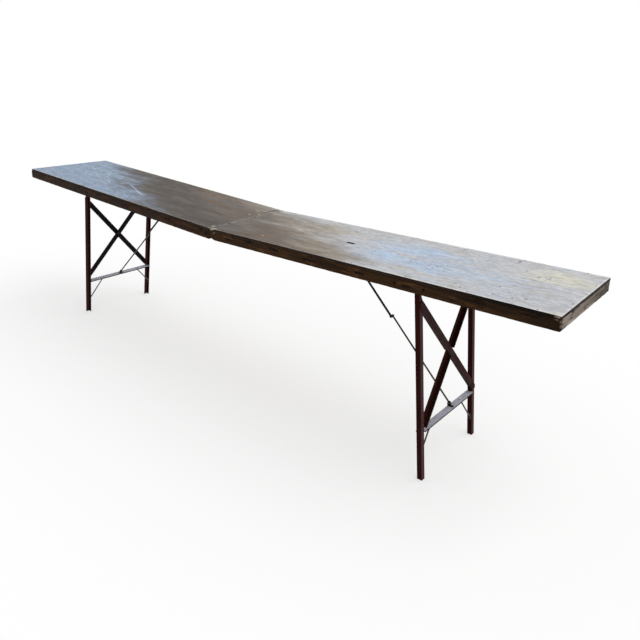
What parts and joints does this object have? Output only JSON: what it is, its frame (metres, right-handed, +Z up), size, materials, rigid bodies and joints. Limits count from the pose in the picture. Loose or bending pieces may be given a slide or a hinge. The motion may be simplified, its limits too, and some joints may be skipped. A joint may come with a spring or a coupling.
{
  "type": "folding trestle table",
  "caption": "Long narrow folding table: wooden leaves hinged at a sagging middle joint, on iron trestles with crossed braces and folding stays that fold up underneath.",
  "frame": {"origin": "on the floor, below the middle of the hinged joint", "axes": "+X along the table to the right leaf, +Y to the back, +Z up"},
  "size_m": [3.0482, 0.4844, 0.7764],
  "materials": {
    "worn_top": "worn grey sheet",
    "rail_wood": "old dark varnish",
    "bearer_wood": "raw, dusty",
    "oxide_iron": "worn oxide red paint",
    "black_rod": "blackened, greasy",
    "dark_steel": "tarnished plate",
    "bright_steel": "tarnished"
  },
  "bodies": {
    "left_leaf": {"left_board": "worn_top", "left_front_rail": "rail_wood", "left_back_rail": "rail_wood", "left_front_pivot_bracket": "dark_steel", "left_back_pivot_bracket": "dark_steel", "left_joint_rail": "bearer_wood", "left_inner_bearer": "bearer_wood", "left_outer_bearer": "bearer_wood", "left_end_rail": "rail_wood", "left_nails": "bright_steel", "left_bracket_rivets": "bright_steel", "left_pivot_spacers": "bright_steel", "left_pivot_nuts": "bright_steel", "left_hinge_plates": "dark_steel", "left_wood_screws": "bright_steel", "left_stay_bracket": "dark_steel", "left_stay_bracket_pin": "bright_steel", "hinge_pins": "bright_steel"},
    "left_legs": {"left_front_leg": "oxide_iron", "left_back_leg": "oxide_iron", "left_front_knee_rod": "black_rod", "left_back_knee_rod": "black_rod", "left_outer_brace": "oxide_iron", "left_inner_brace": "oxide_iron", "left_crossbar": "oxide_iron", "left_frame_rivets": "bright_steel", "left_stay_lug": "oxide_iron", "left_stay_lug_pin": "bright_steel"},
    "left_upper_stay": {"left_upper_stay": "black_rod"},
    "left_lower_stay": {"left_lower_stay": "black_rod"},
    "right_leaf": {"right_board": "worn_top", "right_front_rail": "rail_wood", "right_back_rail": "rail_wood", "right_front_pivot_bracket": "dark_steel", "right_back_pivot_bracket": "dark_steel", "right_joint_rail": "bearer_wood", "right_inner_bearer": "bearer_wood", "right_outer_bearer": "bearer_wood", "right_end_rail": "rail_wood", "right_nails": "bright_steel", "right_bracket_rivets": "bright_steel", "right_pivot_spacers": "bright_steel", "right_pivot_nuts": "bright_steel", "right_hinge_plates": "dark_steel", "right_wood_screws": "bright_steel", "right_stay_bracket": "dark_steel", "right_stay_bracket_pin": "bright_steel"},
    "right_legs": {"right_front_leg": "oxide_iron", "right_back_leg": "oxide_iron", "right_front_knee_rod": "black_rod", "right_back_knee_rod": "black_rod", "right_outer_brace": "oxide_iron", "right_inner_brace": "oxide_iron", "right_crossbar": "oxide_iron", "right_frame_rivets": "bright_steel", "right_stay_lug": "oxide_iron", "right_stay_lug_pin": "bright_steel"},
    "right_upper_stay": {"right_upper_stay": "black_rod"},
    "right_lower_stay": {"right_lower_stay": "black_rod"}
  },
  "joints": [
    {"name": "centre_fold", "type": "hinge", "parent": "left_leaf", "child": "right_leaf", "pos_m": [0, 0, 0.6745], "axis": [0, 1, 0], "range_deg": [0, 168]},
    {"name": "left_leg_fold", "type": "hinge", "parent": "left_leaf", "child": "left_legs", "pos_m": [-1.03073, 0, 0.73306], "axis": [0, -1, 0], "range_deg": [0, 94.89]},
    {"name": "left_upper_stay_fold", "type": "hinge", "parent": "left_leaf", "child": "left_upper_stay", "pos_m": [-0.55073, 0, 0.72607], "axis": [0, 1, 0], "range_deg": [0, 46.04]},
    {"name": "left_lower_stay_fold", "type": "hinge", "parent": "left_legs", "child": "left_lower_stay", "pos_m": [-1.08442, 0, 0.2041], "axis": [0, -1, 0], "range_deg": [0, 39.8]},
    {"name": "right_leg_fold", "type": "hinge", "parent": "right_leaf", "child": "right_legs", "pos_m": [1.03073, 0, 0.73306], "axis": [0, 1, 0], "range_deg": [0, 94.89]},
    {"name": "right_upper_stay_fold", "type": "hinge", "parent": "right_leaf", "child": "right_upper_stay", "pos_m": [0.55073, 0, 0.72607], "axis": [0, -1, 0], "range_deg": [0, 46.04]},
    {"name": "right_lower_stay_fold", "type": "hinge", "parent": "right_legs", "child": "right_lower_stay", "pos_m": [1.08442, 0, 0.2041], "axis": [0, 1, 0], "range_deg": [0, 39.8]}
  ],
  "couplings": [
    {"joint": "left_leg_fold", "follows": "centre_fold", "ratio": 0.56476},
    {"joint": "left_upper_stay_fold", "follows": "centre_fold", "ratio": 0.27401},
    {"joint": "left_lower_stay_fold", "follows": "centre_fold", "ratio": 0.23682},
    {"joint": "right_leg_fold", "follows": "centre_fold", "ratio": 0.56476},
    {"joint": "right_upper_stay_fold", "follows": "centre_fold", "ratio": 0.27401},
    {"joint": "right_lower_stay_fold", "follows": "centre_fold", "ratio": 0.23682}
  ]
}
